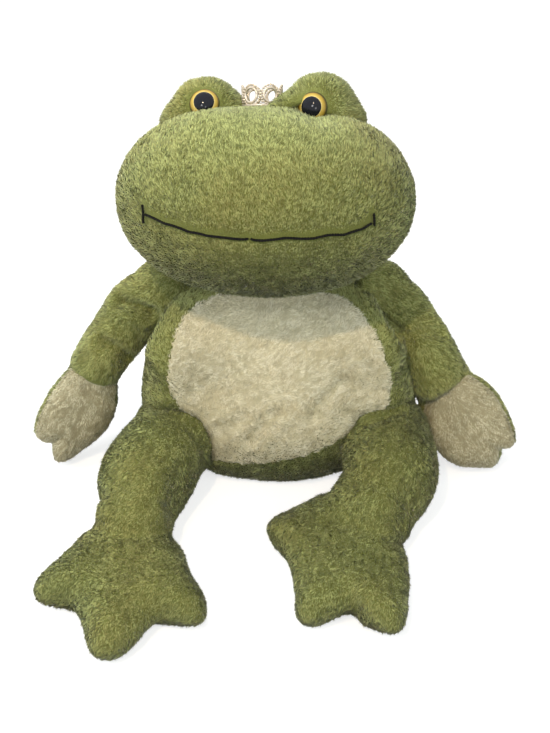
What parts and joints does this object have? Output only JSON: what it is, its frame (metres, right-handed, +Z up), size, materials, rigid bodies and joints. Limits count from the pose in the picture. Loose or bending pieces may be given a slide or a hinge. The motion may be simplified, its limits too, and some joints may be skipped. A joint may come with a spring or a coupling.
{
  "type": "plush frog",
  "caption": "Seated plush frog with a wide stuffed head, raised eye mounds, cream belly and palms, webbed feet and a small ring crown; it sits on its flat seat.",
  "frame": {"origin": "on the flat underside of the seat, below the middle of the toy", "axes": "+Z up, the face looks along -Y, +X to the right of someone who looks at the face"},
  "size_m": [0.2956, 0.2571, 0.2402],
  "materials": {
    "plush_green": "short-pile sage green plush, soft and matte",
    "plush_cream": "short-pile cream plush, soft and matte",
    "eye_iris": "gold amber ring under a clear glossy dome",
    "eye_pupil": "black, high gloss",
    "washer": "moulded natural plastic",
    "thread": "black embroidery thread",
    "crown": "pearly champagne with beaded edges"
  },
  "bodies": {
    "body": {"torso": "plush_green", "belly_patch": "plush_cream"},
    "head": {"head": "plush_green", "eye_mound_left": "plush_green", "eye_mound_right": "plush_green", "eye_left": "eye_iris", "eye_right": "eye_iris", "pupil_left": "eye_pupil", "pupil_right": "eye_pupil", "eye_washer_left": "washer", "eye_washer_right": "washer", "mouth_stitch": "thread", "crown": "crown"},
    "arm_left": {"arm_left": "plush_green", "palm_left": "plush_cream"},
    "arm_right": {"arm_right": "plush_green", "palm_right": "plush_cream"},
    "leg_left": {"leg_left": "plush_green"},
    "leg_right": {"leg_right": "plush_green"},
    "foot_left": {"foot_left": "plush_green"},
    "foot_right": {"foot_right": "plush_green"}
  },
  "joints": [
    {"name": "neck_nod", "type": "hinge", "parent": "body", "child": "head", "pos_m": [0, 0.024, 0.10996], "axis": [1, 0, 0], "range_deg": [-15, 15]},
    {"name": "shoulder_left", "type": "hinge", "parent": "body", "child": "arm_left", "pos_m": [-0.06804, 0.01, 0.10305], "axis": [0, 1, 0], "range_deg": [0, 90]},
    {"name": "shoulder_right", "type": "hinge", "parent": "body", "child": "arm_right", "pos_m": [0.06602, 0.01, 0.10305], "axis": [0, -1, 0], "range_deg": [0, 90]},
    {"name": "hip_left", "type": "hinge", "parent": "body", "child": "leg_left", "pos_m": [-0.06302, -0.02998, 0.0273], "axis": [0.9542, -0.299, 0], "range_deg": [-30, 20]},
    {"name": "hip_right", "type": "hinge", "parent": "body", "child": "leg_right", "pos_m": [0.06699, -0.02998, 0.0273], "axis": [0.9932, -0.1167, 0], "range_deg": [-30, 20]},
    {"name": "ankle_left", "type": "hinge", "parent": "leg_left", "child": "foot_left", "pos_m": [-0.0823, -0.09153, 0.0203], "axis": [0.9954, -0.0958, 0], "range_deg": [-25, 20]},
    {"name": "ankle_right", "type": "hinge", "parent": "leg_right", "child": "foot_right", "pos_m": [0.06022, -0.08759, 0.0203], "axis": [0.866, -0.5, 0], "range_deg": [-25, 20]}
  ]
}
